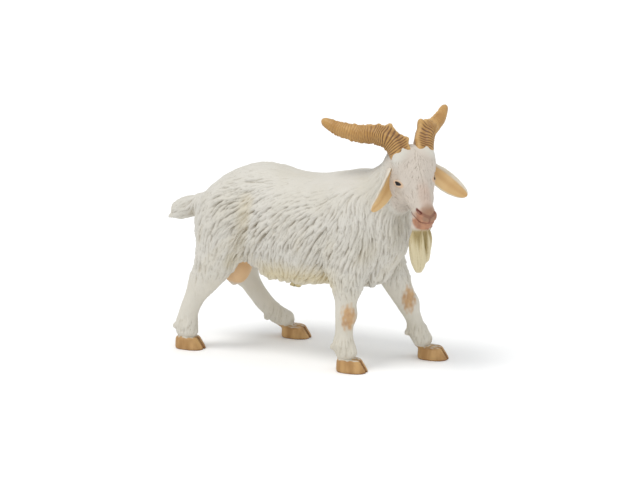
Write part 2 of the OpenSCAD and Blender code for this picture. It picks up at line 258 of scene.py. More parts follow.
def sample(p):
    """Field and gradient at points, by trilinear interpolation."""
    q = (p - LO) / VOXEL
    i = np.clip(np.floor(q).astype(int), 0, np.array(SHAPE) - 2)
    f = q - i
    c = np.empty((2, 2, 2, len(p)))
    for a in (0, 1):
        for b in (0, 1):
            for d in (0, 1):
                c[a, b, d] = field[i[:, 0] + a, i[:, 1] + b, i[:, 2] + d]
    fx, fy, fz = f.T
    cx = c[0] + (c[1] - c[0]) * fx
    cxy = cx[0] + (cx[1] - cx[0]) * fy
    value = cxy[0] + (cxy[1] - cxy[0]) * fz
    gx = c[1] - c[0]
    gx = gx[0] + (gx[1] - gx[0]) * fy
    gx = gx[0] + (gx[1] - gx[0]) * fz
    gy = cx[1] - cx[0]
    gy = gy[0] + (gy[1] - gy[0]) * fz
    gz = cxy[1] - cxy[0]
    return value, np.stack([gx, gy, gz], -1) / VOXEL


# ---------------- the body under the coat

LEVEL_X = np.array([1.0, 0.0, 0.0])
LEVEL_Z = np.array([0.0, 0.0, 1.0])


def flesh(centre, radii, k):
    add_ball(np.array(centre) + DATUM, radii, k=k)


def body():
    add_profile(BARREL, DATUM, np.eye(3), half_scale=BARREL_HALF, fullness=0.9, k=2.0)
    add_limb(shifted(NECK), LEVEL_Z, k=3.0)
    add_limb(shifted(TAIL), LEVEL_Z, k=2.5)
    for stations, _ in LEGS.values():
        add_limb(shifted(stations), LEVEL_X, k=3.5)
    add_limb(shifted(POUCH), LEVEL_X, k=1.2)
    for side in (-1, 1):
        flesh([-27.0, side * 9.2, 47.0], (9.0, 8.0, 13.5), k=3.0)  # haunches
        add_limb(shifted([[x, side * y, z, w, w] for x, y, z, w in FOLD]), LEVEL_X, k=2.4, cut=True)
    for y in (-9.5, 9.0):
        flesh([20.0, y, 50.0], (8.5, 6.5, 13.0), k=4.0)  # shoulders
    flesh([31.2, -1.5, 49.0], (7.0, 8.5, 13.0), k=4.0)  # brisket
    flesh([21.0, 0.0, 33.0], (10.0, 8.0, 5.5), k=3.0)


def joints_of_legs():
    """Knees or hocks, fetlocks and dewclaws."""
    fr, fl, rr, rl = [shifted(stations) for stations, _ in LEGS.values()]
    for s in (fr, fl):
        knee, pastern = s[4, :3], s[6, :3]
        add_ball(knee + [1.0, 0, 0.4], (3.2, 3.2, 3.6), k=1.5)
        add_ball(pastern + [0.2, 0, 0], (3.4, 3.2, 2.6), k=1.5)
        for dy in (-1.2, 1.2):
            add_ball(pastern + [-3.0, dy, -0.9], (1.3, 0.9, 1.0), k=0.6)
    for s in (rr, rl):
        hock, pastern = s[3, :3], s[6, :3]
        add_ball(hock + [-2.6, 0, -1.2], (2.8, 2.6, 3.6), k=2.0)
        add_ball(pastern + [0.2, 0, 0], (3.5, 3.2, 2.6), k=1.5)
        for dy in (-1.2, 1.2):
            add_ball(pastern + [-3.4, dy, -1.2], (1.4, 0.9, 1.1), k=0.6)


def hooves():
    """Each hoof: a block with a raked toe, cloven in front, standing flat on the floor."""
    for _, (hx, hy) in LEGS.values():
        cx, cy = hx + DATUM[0], hy + DATUM[1]
        sl, (X, Y, Z) = window((cx - 8, cy - 7, -2), (cx + 10, cy + 7, 8))
        z = np.clip(Z, 0, 4.6)
        h = np.array(HOOF)[::-1]
        front, rear, half = [np.interp(z, h[:, 0], h[:, i]) for i in (1, 2, 3)]
        x, y = X - cx, np.abs(Y - cy)
        reach = np.where(x > 0, front, rear)
        e = 2.5
        n = (np.abs(x / reach) ** e + np.abs(y / half) ** e) ** (1 / e)
        d = (n - 1) * np.minimum(reach, half) * 0.9
        cleft = 0.55 * np.clip((x - 0.5) / 4.0, 0, 1) - y  # slot between the toes
        d = np.maximum(d, cleft * 0.9)
        heel = 0.35 * np.clip((-x - 1.8) / 2.0, 0, 1) - y
        d = np.maximum(d, heel * 0.8)
        top, under = Z - 4.1, -Z
        r = 0.45
        a, b = np.maximum(d + r, 0), np.maximum(top + r, 0)
        d = np.minimum(np.maximum(d + r, top + r), 0) + np.sqrt(a * a + b * b) - r
        blend_in(sl, np.maximum(d, under).astype(np.float32), 0.7)
        field[sl] = np.maximum(field[sl], under)  # soles flat at Z = 0


# Eyes in the face's frame, the right one (-1) mirrored to the left. Axes of the left one: out of
# the face, along the slit, across it.
EYES = {-1: np.array([9.3, 6.95, -3.5]), 1: np.array([8.9, 5.85, -2.1])}
EYE_OUT = unit([0.25, 0.79, 0.56])
EYE_LONG = np.array([0.80, -0.30, 0.52])
EYE_LONG = unit(EYE_LONG - np.dot(EYE_LONG, EYE_OUT) * EYE_OUT)
EYE_WIDE = np.cross(EYE_OUT, EYE_LONG)


def eye_place(f, side):
    """Places near one eye along the slit, across it and out of the face."""
    g = f * [1, side, 1] - EYES[side]
    return g @ EYE_LONG, g @ EYE_WIDE, g @ EYE_OUT


def at_eye(side, u, v, w):
    """The point at those places near one eye."""
    return (EYES[side] + EYE_LONG * u + EYE_WIDE * v + EYE_OUT * w) * [1, side, 1]


def ball(p, radii, k, cut=False):
    add_ball(from_face(p), radii, FACE_AXES, k, cut)


def path(stations, k, cut=False):
    add_limb([[*from_face(p[:3]), p[3], p[3]] for p in stations], BROW, k, 3, cut)


def lid(side, v, w, r):
    """One eyelid, at that height across the slit and out of the face."""
    path([(*at_eye(side, -1.75, 0, 0.15), r * 0.8), (*at_eye(side, -0.95, v * 0.75, w), r),
          (*at_eye(side, 0.0, v, w + 0.12), r), (*at_eye(side, 0.95, v * 0.7, w), r),
          (*at_eye(side, 1.8, 0, 0.0), r * 0.7)], 0.3)


def face():
    add_profile(SKULL, POLL, FACE_AXES, fullness=0.88, k=2.5)
    path([(1.5, 0, -1.6, 3.4), (7, 0, -1.8, 2.8), (13, 0, -2.7, 2.1), (20.4, 0, -3.5, 1.8)], 2.0)  # nose
    ball((22.4, 0, -5.0), (2.4, 3.0, 3.2), 1.0)  # muzzle
    ball((22.4, 0, -8.1), (2.2, 2.3, 1.6), 0.9)  # chin
    for side in (-1, 1):
        ball((0.4, side * 4.3, 0.4), (3.8, 3.3, 2.2), 1.4)  # hair round the horn
        ball((2.6, side * 5.5, -0.8), (3.3, 2.4, 2.1), 1.2)
        ball((5.4, side * 5.2, -1.5), (3.0, 1.8, 1.3), 1.5)  # brow
        ball((9.0, side * 4.8 - 0.15, -4.1), (3.5, 2.05, 2.8), 1.3)  # orbit
        ball((9.6, side * 4.4, -8.0), (4.6, 2.4, 3.4), 2.0)  # cheek
        ball((13.2, side * 3.6, -5.0), (4.0, 1.5, 1.6), 1.5)  # below the eye
        ball((21.6, side * 2.3, -3.6), (2.2, 1.25, 1.3), 0.8)  # nostril wing
        ball(at_eye(side, 0.0, 0.0, 0.75), (1.7, 0.8, 1.2), 0.8, True)  # eye socket
        ball(at_eye(side, 0.0, 0.0, -1.15), (1.6, 1.6, 1.6), 0.12)  # eyeball
        lid(side, 0.86, 0.28, 0.32)
        lid(side, -0.80, 0.20, 0.24)
        # Nostril, the line round it, and the mouth.
        path([(19.6, side * 3.25, -3.5, 0.3), (21.0, side * 3.0, -2.9, 0.45),
              (22.0, side * 2.5, -2.4, 0.35)], 0.3, True)
        path([(22.0, side * 2.4, -2.2, 0.2), (23.1, side * 1.2, -1.9, 0.2), (23.9, 0, -2.5, 0.2)], 0.25, True)
        path([(25.0, 0, -4.3, 0.28), (24.5, side * 1.5, -4.4, 0.3), (23.1, side * 3.0, -4.9, 0.3),
              (20.6, side * 3.4, -6.2, 0.26), (18.4, side * 3.6, -7.1, 0.14)], 0.3, True)
    path([(23.9, 0, -2.5, 0.16), (24.7, 0, -3.4, 0.2), (25.0, 0, -4.3, 0.2)], 0.2, True)  # philtrum


def lock(root, direction, length, r, bend=0.0, k=0.8):
    """A tapered lock of hair that stands clear of the coat."""
    root, d = np.asarray(root, float), unit(direction)
    s = unit(np.cross(d, [0.3, 1.0, 0.2]))
    stations = []
    for t, q in ((0, 0.9), (0.35, 1.0), (0.7, 0.62), (1.0, 0.12)):
        p = root + d * length * t + s * bend * math.sin(t * 2.4)
        stations.append([*p, r * q, r * q])
    add_limb(stations, LEVEL_Z if abs(d[2]) < 0.8 else LEVEL_X, k, 2)


def tufts():
    s = fair(BARREL, 6)
    for x in np.arange(-13, 30, 2.1):  # belly fringe
        bottom = np.interp(x, s[:, 0], s[:, 2])
        half = np.interp(x, s[:, 0], s[:, 3]) * BARREL_HALF
        for side in (-1, 1):
            j = rng.uniform(-0.7, 0.7, 4)
            root = np.array([x + j[2], side * half * (0.42 + 0.05 * j[0]), bottom + 2.6 + 0.4 * j[1]])
            lock(root + DATUM, (-0.7, 0.05 * side, -1), 2.6 + j[3] * 0.5, 1.35, bend=0.2 * j[0], k=1.8)
        j = rng.uniform(-0.7, 0.7, 3)
        root = np.array([x + j[2], j[0] * 2, bottom + 1.4])
        lock(root + DATUM, (-0.9, 0, -1), 1.9 + 0.4 * j[1], 1.3, k=1.8)
    for _ in range(9):  # brisket
        j = rng.uniform(-1, 1, 4)
        root = np.array([29.5 + j[0] * 1.5, -1 + 6.5 * j[1], 35.5 + 1.5 * j[2]])
        lock(root + DATUM, (-0.15, 0, -1), 4.5 + j[3], 1.25, 0.2 * j[0])
    for side in (-1, 1):  # backs of the thighs
        for i in range(6):
            j = rng.uniform(-1, 1, 3)
            z = 46 - 3.0 * i
            x = np.interp(z, [28, 46], [-36.0, -37.0])
            root = np.array([x + 0.6, side * (10.0 + j[0]), z])
            lock(root + DATUM, (-0.5, 0.1 * side, -1), 4.6 + j[1], 1.0, 0.2)
    for i in range(13):  # tail
        j = rng.uniform(-1, 1, 4)
        t = i / 12
        root = np.array([-43.5 - 9.0 * t, 2.2 * j[0] * (1 - 0.4 * t), 48.2 - 1.9 * t])
        direction = (-1.0, 0.15 * j[0], -0.70 + 0.1 * j[1])
        lock(root + DATUM, direction, 3.3 + 0.4 * j[2], 1.15 - 0.2 * t, 0.2 * j[3])
    for stations, _ in LEGS.values():  # feather behind the fetlocks
        c = np.array(stations[6][:3], float) + DATUM
        for dy in (-1.3, 0, 1.3):
            lock(c + [-1.6, dy, 0.9], (-0.9, 0.1 * dy, -0.85), 3.4, 0.85, 0.1)
    tuft = np.array([-3.4, -1.5, 28.6]) + DATUM  # under the belly
    for dx in (-0.5, 0.2, 0.8):
        lock(tuft + [dx, 0, 0], (-0.15 + 0.2 * dx, -0.1, -1), 3.6, 0.9, 0.1)


body()
joints_of_legs()
hooves()
add_limb(shifted(BEARD), FORE, k=1.2)
face()
tufts()
hooves()  # once more, over the feather

grid = openvdb.FloatGrid(FAR)
grid.copyFromArray(field)
points, quads = grid.convertToQuads(0.0)
points = points.astype(np.float64) * VOXEL + LO
quads = quads.astype(np.int64)


# ---------------- mesh tools in numpy

class Skin:
    """A quad mesh with the neighbour sums that smoothing and painting need."""

    def __init__(self, points, quads):
        self.p, self.q = points, quads
        self.a = quads.ravel()
        self.b = np.roll(quads, -1, axis=1).ravel()
        n = len(points)
        self.count = np.maximum(np.bincount(self.a, minlength=n) + np.bincount(self.b, minlength=n), 1)

    def spread(self, v):
        """Mean of each point's neighbours."""
        if v.ndim == 1:
            n = len(self.p)
            return (np.bincount(self.a, v[self.b], n) + np.bincount(self.b, v[self.a], n)) / self.count
        return np.stack([self.spread(v[:, i]) for i in range(v.shape[1])], -1)

    def smooth(self, v, times, rate=0.5):
        for _ in range(times):
            v = v + rate * (self.spread(v) - v)
        return v

    def normals(self):
        p, q = self.p, self.q
        n = np.cross(p[q[:, 2]] - p[q[:, 0]], p[q[:, 3]] - p[q[:, 1]])
        out = np.stack([np.bincount(q.ravel(), np.repeat(n[:, i], 4), len(p)) for i in range(3)], -1)
        return unit(out)


coat = Skin(points, quads)
n0 = coat.normals()
PROBE = 0.3
# Turn the faces round if the field falls along most of the normals.
if (sample(coat.p + PROBE * n0)[0] < sample(coat.p - PROBE * n0)[0]).mean() > 0.5:
    coat = Skin(points, quads[:, ::-1])
    n0 = coat.normals()


# ---------------- flow of the coat and its carved locks

def wave(p, length, seed):
    """Smooth noise in -1..1 with features of about that length."""
    r = np.random.default_rng(seed)
    out = np.zeros(len(p))
    for _ in range(6):
        k = unit(r.normal(size=3)) * 2 * math.pi / (length * r.uniform(0.7, 1.5))
        out += np.sin(p @ k + r.uniform(0, 7))
    return out / 2.6


def ramp(v, a, b):
    """Smooth step from 0 at a to 1 at b, either of which may be the larger."""
    t = np.clip((v - a) / (b - a), 0, 1)
    return t * t * (3 - 2 * t)


def blob(p, centre, radii, outer, inner):
    """0 beyond an ellipsoid outer times that size, 1 within one inner times it."""
    return ramp(np.linalg.norm((p - centre) / radii, axis=1), outer, inner)


BEARD_TIP = np.array(BEARD[-1][:3]) + DATUM
BEARD_AXIS = fair(shifted(BEARD)[:, :3], 3)
FACE_MID = from_face((11.0, 0, -5.5))
CROWNS = [from_level((-0.6, side * 4.6, 0.6)) for side in (-1, 1)]  # where the horns come out


def near_line(p, line):
    """Distance of each point from a chain of straight pieces."""
    d = np.full(len(p), 1e3)
    for a, b in zip(line[:-1], line[1:]):
        t = np.clip((p - a) @ (b - a) / np.dot(b - a, b - a), 0, 1)
        d = np.minimum(d, np.linalg.norm(p - a - t[:, None] * (b - a), axis=1))
    return d


def regions(p):
    """Soft memberships of each point, from its place alone."""
    q = p - DATUM
    x, y, z = q.T
    r = {}
    r["beard"] = ramp(near_line(p, BEARD_AXIS), 7.0, 5.2) * ramp(z, 52.6, 50.6)
    r["head"] = blob(to_face(p), [10.5, 0, -5.5], [17.5, 11.0, 10.5], 1.12, 0.94) * (1 - r["beard"])
    r["tail"] = ramp(x, -43.6, -46.0) * ramp(z, 42.0, 44.0)
    r["leg"] = ramp(z, 31.0, 24.0) * (1 - ramp(np.abs(y), 8.0, 5.5)) * (1 - r["beard"])
    r["hoof"] = ramp(z, 4.5, 4.1)
    r["crown"] = ramp(np.min([np.linalg.norm(p - c, axis=1) for c in CROWNS], 0), 5.4, 4.4)
    r["pouch"] = blob(q, [-27.6, -0.2, 30.0], [8.0, 7.4, 7.4], 1.14, 0.96) * ramp(z, 35.0, 32.5)
    return r


def flow(p):
    """Direction in which the hair lies."""
    x, y, z = (p - DATUM).T
    r = regions(p)
    angle = np.interp(z, [26, 34, 42, 50, 58, 63, 67], np.radians([80, 72, 62, 50, 33, 20, 10]))
    angle = angle + (np.radians(84) - angle) * (ramp(x, 8, 24) * ramp(z, 66, 56))
    angle = angle + (np.radians(75) - angle) * ramp(x, -33, -42) * ramp(z, 62, 54)
    d = np.stack([-np.cos(angle), np.clip(y / 10, -1, 1) * 0.35 * ramp(z, 54, 64), -np.sin(angle)], -1)

    def turn(share, direction):
        return d + share[:, None] * (direction - d)

    d = turn(ramp(x, 24, 33) * ramp(z, 48, 58), np.array([-0.55, 0, -0.7]))
    d = turn(ramp(x, 29, 34) * ramp(z, 56, 48), np.array([-0.1, 0, -1.0]))
    d = turn(r["leg"], np.array([-0.12, 0, -1.0]))
    d = turn(r["tail"], np.array([-1.0, 0, -0.42]))
    d = turn(r["head"], ALONG * 0.9 - UP * 0.25 + unit(to_face(p)[:, 1:2] * LEFT) * 0.35)
    return turn(r["beard"], unit(BEARD_TIP + [0, 0, -6.0] - p))


def trace(seeds, length, steps, swing, phase):
    """Paths over the skin from the seeds: (seeds, steps + 1, 3)."""
    p = seeds.copy()
    path = [p]
    step = length / steps
    turn0 = 0.22 * wave(seeds, 14.0, 3)
    for i in range(steps):
        g = unit(sample(p)[1])
        d = flow(p)
        d = unit(d - (d * g).sum(1, keepdims=True) * g)
        turn = turn0 + swing * np.sin(phase + 5.0 * i / steps)
        d = d * np.cos(turn)[:, None] + np.cross(g, d) * np.sin(turn)[:, None]
        p = p + d * step[:, None]
        v, g = sample(p)
        p = p - unit(g) * np.clip(v, -0.6, 0.6)[:, None]
        path.append(p)
    return np.stack(path, 1)


MANY_CELLS = 4096


def seeds_on(points, spacing, keep, seed):
    """About one point in each cell of that size, where keep says so."""
    r = np.random.default_rng(seed)
    order = r.permutation(np.nonzero(keep > r.uniform(0, 1, len(points)))[0])
    cell = np.floor((points[order] + r.uniform(0, spacing, 3)) / spacing).astype(np.int64)
    key = (cell[:, 0] * MANY_CELLS + cell[:, 1]) * MANY_CELLS + cell[:, 2]
    _, first = np.unique(key, return_index=True)
    return points[order[first]]


def stamp(points, paths, width, height):
    """Height at each point of overlapping tapered ridges that follow the paths."""
    n, s1 = paths.shape[:2]
    steps = s1 - 1
    reach = float(width.max()) + 0.35
    base = points.min(0) - reach
    dims = np.ceil((points.max(0) + reach - base) / reach).astype(np.int64) + 2
    cell = np.floor((points - base) / reach).astype(np.int64)
    key = (cell[:, 0] * dims[1] + cell[:, 1]) * dims[2] + cell[:, 2]
    order = np.argsort(key, kind="stable")
    keys, start, count = np.unique(key[order], return_index=True, return_counts=True)
    a = paths[:, :-1].reshape(-1, 3)
    b = paths[:, 1:].reshape(-1, 3)
    stroke = np.repeat(np.arange(n), steps)
    place = np.tile(np.arange(steps), n)
    centre = np.floor(((a + b) / 2 - base) / reach).astype(np.int64)
    out = np.zeros(len(points))
    for neighbour in np.ndindex(3, 3, 3):
        c = centre + neighbour - 1
        k = (c[:, 0] * dims[1] + c[:, 1]) * dims[2] + c[:, 2]
        at = np.clip(np.searchsorted(keys, k), 0, len(keys) - 1)
        hit = np.nonzero(keys[at] == k)[0]
        if not len(hit):
            continue
        cnt = count[at[hit]]
        seg = np.repeat(hit, cnt)
        offset = np.arange(cnt.sum()) - np.repeat(np.cumsum(cnt) - cnt, cnt)
        pt = order[np.repeat(start[at[hit]], cnt) + offset]
        ab = b[seg] - a[seg]
        rel = points[pt] - a[seg]
        t = np.clip((rel * ab).sum(1) / np.maximum((ab * ab).sum(1), 1e-9), 0, 1)
        off = rel - t[:, None] * ab
        d2 = (off * off).sum(1)
        u = (place[seg] + t) / steps
        w = width[stroke[seg]] * np.interp(u, [0, 0.15, 0.45, 0.8, 1.0], [0.35, 0.75, 1.0, 0.8, 0.08])
        inside = d2 < w * w
        if not inside.any():
            continue
        pt, seg, u, w, d2 = [v[inside] for v in (pt, seg, u, w, d2)]
        x = np.sqrt(d2) / w
        rise = np.interp(u, [0, 0.2, 0.6, 0.86, 1.0], [0.15, 0.5, 0.85, 1.0, 0.55])
        np.maximum.at(out, pt, height[stroke[seg]] * rise * np.sqrt(1 - x * x))
    return out


def carve(points, spacing, length, width, steps, keep, seed, swing=0.25):
    """Height at each point of one layer of locks."""
    seeds = seeds_on(points, spacing, keep, seed)
    r = np.random.default_rng(seed + 50)
    n = len(seeds)
    own = regions(seeds)
    size = np.interp(own["leg"] + own["tail"] * 0.5, [0, 1], [1.0, 0.55])
    l = length * r.uniform(0.8, 1.2, n) * size
    w = width * r.uniform(0.85, 1.15, n) * np.interp(size, [0.55, 1], [0.7, 1])
    paths = trace(seeds, l, steps, swing, r.uniform(0, 6.3, n))
    return stamp(points, paths, w, r.uniform(0.7, 1.0, n))


def relief(p, n):
    """How deep the coat is carved."""
    x, y, z = (p - DATUM).T
    r = regions(p)
    a = np.interp(z - 6.5 * ramp(x, -2, -18), [26, 34, 46, 54, 60, 64, 67.5],
                  [1.1, 1.1, 1.05, 0.85, 0.40, 0.14, 0.10])
    a = a + (0.34 - a) * ramp(x, 24, 32) * ramp(z, 52, 62)
    a = a * (1 - 0.32 * ramp(x, -20, -34))
    leg = np.interp(z, [4.4, 6, 10.5, 13, 20, 25, 31], [0.0, 0.25, 0.25, 0.05, 0.06, 0.14, 0.6])
    a = a + (leg - a) * r["leg"]
    a = a + (0.5 - a) * r["tail"]
    a = a * (1 - r["pouch"]) * (1 - r["hoof"])
    a = a * (1 - r["head"]) * (1 - r["crown"])
    a = a + (0.95 - a) * r["beard"]
    under = ramp(n[:, 2], -0.75, -0.95) * (1 - r["leg"])
    return a * (1 - 0.4 * under)


hair = regions(coat.p)
furry = np.clip(1 - hair["head"] - hair["hoof"] - hair["pouch"], 0, 1)
depth = relief(coat.p, n0)
broad = carve(coat.p, 2.1, 10.5, 0.80, 14, furry, 11, swing=0.15)
medium = carve(coat.p, 1.4, 7.0, 0.48, 10, furry, 12, swing=0.18)
fine = carve(coat.p, 0.85, 4.2, 0.27, 7, furry, 13, swing=0.2)
mix = 0.66 * broad + 0.38 * medium + 0.10 * fine
strand = carve(coat.p, 1.75, 15.0, 0.66, 16, hair["beard"], 15, swing=0.06)
mix = mix + hair["beard"] * (0.95 * strand - mix)
mix = coat.smooth(mix, 1, 0.25)
lift = 2.1 * depth * (mix - 0.47)
groove = np.clip((0.52 - mix) / 0.5, 0, 1) * np.clip(depth / 0.85, 0, 1)
base_points = coat.p.copy()
coat.p = coat.p + n0 * lift[:, None]
sole = base_points[:, 2] < 0.05
coat.p[sole, 2] = 0.0
n1 = coat.normals()
hollow = coat.smooth(((coat.spread(coat.p) - coat.p) * n1).sum(1) / VOXEL, 1)


# ---------------- cutting the coat into the moulded pieces

def seat(stations, i):
    """Place and direction of a limb at one of its stations."""
    s = shifted(stations)
    f = fair(s[:, :3], 4)
    j = i * 4
    return s[i, :3], unit(f[j + 1] - f[j - 1])


# How far from its axis or middle each piece may take faces, and where the beard starts.
FACE_REACH, BEARD_REACH, LEG_REACH = 30, 7.0, 10
BEARD_TOP = 51.8

centres = base_points[coat.q].mean(1)
label = np.zeros(len(coat.q), int)
NAMES = ["torso", "head", "tail", "beard"] + list(LEGS)
c, t = seat(NECK, NECK_SEAT)
near_face = np.linalg.norm(centres - FACE_MID, axis=1) < FACE_REACH
label[((centres - c) @ t > 0) & (centres[:, 0] > c[0] - 4) & near_face] = NAMES.index("head")
label[(near_line(centres, BEARD_AXIS) < BEARD_REACH) & (centres[:, 2] < BEARD_TOP)] = NAMES.index("beard")
c, t = seat(TAIL, TAIL_SEAT)
label[((centres - c) @ t > 0) & (centres[:, 2] > 40)] = NAMES.index("tail")
for name, (stations, hoof) in LEGS.items():
    c, t = seat(stations, LEG_SEAT)
    line = np.vstack([shifted(stations)[LEG_SEAT:, :3], [[hoof[0] + DATUM[0], hoof[1] + DATUM[1], 0]]])
    label[((centres - c) @ t > 0) & (near_line(centres, line) < LEG_REACH)] = NAMES.index(name)


def make_object(name, points, groups, normals=None, values=None):
    """Mesh from points in mm and arrays of faces, with one float attribute for each value."""
    mesh = bpy.data.meshes.new(name)
    mesh.vertices.add(len(points))
    mesh.vertices.foreach_set("co", (np.asarray(points) * MM).astype(np.float32).ravel())
    sizes = np.concatenate([np.full(len(g), g.shape[1]) for g in groups])
    flat = np.concatenate([np.asarray(g).ravel() for g in groups])
    mesh.loops.add(len(flat))
    mesh.loops.foreach_set("vertex_index", flat.astype(np.int32))
    mesh.polygons.add(len(sizes))
    mesh.polygons.foreach_set("loop_start", (np.cumsum(sizes) - sizes).astype(np.int32))
    mesh.update(calc_edges=True)
    mesh.validate()
    for key, v in (values or {}).items():
        attribute = mesh.attributes.new(key, "FLOAT", "POINT")
        attribute.data.foreach_set("value", np.asarray(v, np.float32))
    mesh.shade_smooth()
    if normals is not None:
        mesh.normals_split_custom_set_from_vertices(normals.astype(np.float32))
    obj = bpy.data.objects.new(name, mesh)
    bpy.context.scene.collection.objects.link(obj)
    return obj


def boundary_loops(q):
    """Closed chains of the edges that only one face has."""
    a, b = q.ravel(), np.roll(q, -1, axis=1).ravel()
    n = int(q.max()) + 1
    key, back = a * n + b, b * n + a
    edge = np.nonzero(~np.isin(key, back))[0]
    nxt = {int(a[e]): int(b[e]) for e in edge}
    loops = []
    while nxt:
        first = next(iter(nxt))
        loop = [first]
        cur = nxt.pop(first)
        while cur != first and cur in nxt:
            loop.append(cur)
            cur = nxt.pop(cur)
        loops.append(loop)
    return loops


def refine(points, extra, quads):
    """One Catmull-Clark step on quads; open edges stay put. extra holds more values per point."""
    n = len(points)
    allv = np.hstack([points] + [e[:, None] if e.ndim == 1 else e for e in extra])
    face = allv[quads].mean(1)
    a, b = quads.ravel(), np.roll(quads, -1, axis=1).ravel()
    key = np.minimum(a, b) * n + np.maximum(a, b)
    _, first, inv, cnt = np.unique(key, return_index=True, return_inverse=True, return_counts=True)
    inv = inv.ravel()
    ea, eb = a[first], b[first]
    mid = (allv[ea] + allv[eb]) / 2
    owner = np.repeat(np.arange(len(quads)), 4)
    add = lambda idx, val, m: np.stack([np.bincount(idx, val[:, c], m) for c in range(val.shape[1])], -1)
    edge = np.where((cnt == 2)[:, None], (allv[ea] + allv[eb] + add(inv, face[owner], len(first))) / 4, mid)
    valence = np.bincount(ea, minlength=n) + np.bincount(eb, minlength=n)
    fcount = np.maximum(np.bincount(a, minlength=n), 1)
    fmean = add(a, face[owner], n) / fcount[:, None]
    emean = (add(ea, mid, n) + add(eb, mid, n)) / np.maximum(valence, 1)[:, None]
    v = np.maximum(valence, 3)[:, None]
    moved = (fmean + 2 * emean + (v - 3) * allv) / v
    open_edge = cnt == 1
    rim = np.zeros(n, bool)
    rim[ea[open_edge]] = True
    rim[eb[open_edge]] = True
    moved[rim] = allv[rim]
    out = np.vstack([moved, edge, face])
    e = n + inv.reshape(-1, 4)
    f = (n + len(first) + np.arange(len(quads)))[:, None] * np.ones((1, 4), np.int64)
    q = np.stack([quads, e, f, np.roll(e, 1, axis=1)], -1).reshape(-1, 4)
    return out, q, rim


FRONT = [shifted(LEGS[n][0])[:, :3] for n in ("leg_front_right", "leg_front_left")]
KNEES = [FRONT[0][4] + [2.0, -1.8, 0.0], FRONT[1][3] * 0.32 + FRONT[1][4] * 0.68 + [2.2, -1.8, 0.3]]
TUFT = np.array([-3.2, -1.7, 26.2]) + DATUM


# The fold in front of the thigh, along which the coat is painted darker and warmer.
FOLD_TONE_LINE = np.array([[-16.0, 16.0, 57], [-18.0, 17.5, 44.6], [-20.2, 16.2, 36.8], [-22.5, 14.6, 33.0]])


def paint(p):
    """Where each colour of the paint lies, 0 to 1, from the place on the smooth body."""
    q = p - DATUM
    f = to_face(p)
    s, y, h = f.T
    r = regions(p)
    ay = np.abs(y)
    head = blob(f, [12.0, 0, -5.0], [17.0, 9.0, 9.5], 1.2, 0.98) * (1 - r["beard"])
    m = {"pouch": r["pouch"], "beard": r["beard"], "white": head}
    edge = s + 0.5 * wave(p, 3.0, 21)
    m["skin"] = head * np.maximum(ramp(edge, 18.9, 22.0) * ramp(h, -8.5, -7.2),
                                  0.30 * ramp(s, 9, 15) * ramp(ay, 3.0, 1.2) * ramp(h, -4.5, -2.5))
    place = np.c_[s, ay, h]
    nostril = near_line(place, np.array([[19.6, 3.3, -3.4], [20.6, 3.1, -2.9], [21.5, 2.7, -2.5]]))
    vee = near_line(place, np.array([[21.5, 2.7, -2.5], [22.9, 1.5, -1.9], [23.6, 0.0, -2.1]]))
    philtrum = ay + 2 * np.maximum(0, h + 2.2) + 2 * np.maximum(0, -4.4 - h) + 2 * np.maximum(0, 22.8 - s)
    mouth = np.abs(h + 4.3 + 0.5 * (24.3 - s)) * 0.85 + np.maximum(0, 18.4 - s)
    m["dark"] = head * np.max([ramp(nostril, 0.8, 0.35), 0.45 * ramp(vee, 0.8, 0.3),
                               0.5 * ramp(philtrum, 0.5, 0.15), 0.65 * ramp(mouth, 0.42, 0.12)], 0)
    m["snout"] = head * ramp(s - 0.4 * ay, 17.5, 20.5) * ramp(h, -3.9, -3.0) * ramp(ay, 2.9, 1.8)
    u, v, w = [np.where(y < 0, a, b) for a, b in zip(eye_place(f, -1), eye_place(f, 1))]
    slit = (v + 0.10 * u * u) / np.clip(0.70 * (1 - (u / 1.9) ** 2), 0.05, 1)
    m["eye"] = head * ramp(np.hypot(u / 1.36, slit), 1.08, 0.9) * ramp(w, -1.9, -1.2)
    m["lid"] = head * ramp(np.hypot((u - 0.2) / 2.1, v / 1.15), 1.25, 0.7) * ramp(w, -3.0, -1.5) * 0.6
    ragged = 0.14 * wave(p, 1.6, 31)
    m["tan"] = np.max([ramp(-np.linalg.norm((p - k) / [2.5, 2.5, 4.6], axis=1) - ragged, -1.3, -0.6)
                       for k in KNEES], 0) * 0.85
    m["hoof"] = ramp(-q[:, 2] + 0.18 * wave(p, 1.8, 5), -4.45, -4.2)
    belly = ramp(q[:, 2], 38, 29) * (1 - r["leg"]) * ramp(q[:, 0], -18, -10) * ramp(q[:, 0], 22, 14)
    m["warm"] = np.maximum(belly * (1 - head), blob(p, TUFT, 1.0, 3.2, 1.8) * 1.6)
    m["warm"] = np.maximum(m["warm"], 0.9 * r["beard"])
    # A beige tint: darker and warmer along that fold, and in faint random patches low on the body.
    folds = near_line(np.c_[q[:, 0], np.abs(q[:, 1]), q[:, 2]], FOLD_TONE_LINE)
    patches = 0.25 * ramp(wave(p, 9.0, 41), 0.3, 1.0) * ramp(q[:, 2], 52, 44) * (1 - head)
    # Painted light at the far hind leg, under the belly: a warmer coat and lighter grooves there.
    m["tint_and_painted_shading"] = np.maximum(ramp(folds, 4.2, 1.0) + patches,
                           blob(q, [-21.0, 8.5, 27.0], [6.0, 6.0, 7.0], 1.2, 0.6) * 0.8)
    # On the legs the tint is partly their own warmer tone and partly painted shade.
    m["tint_and_painted_shading"] = np.maximum(m["tint_and_painted_shading"], 0.30 * r["leg"])
    return m


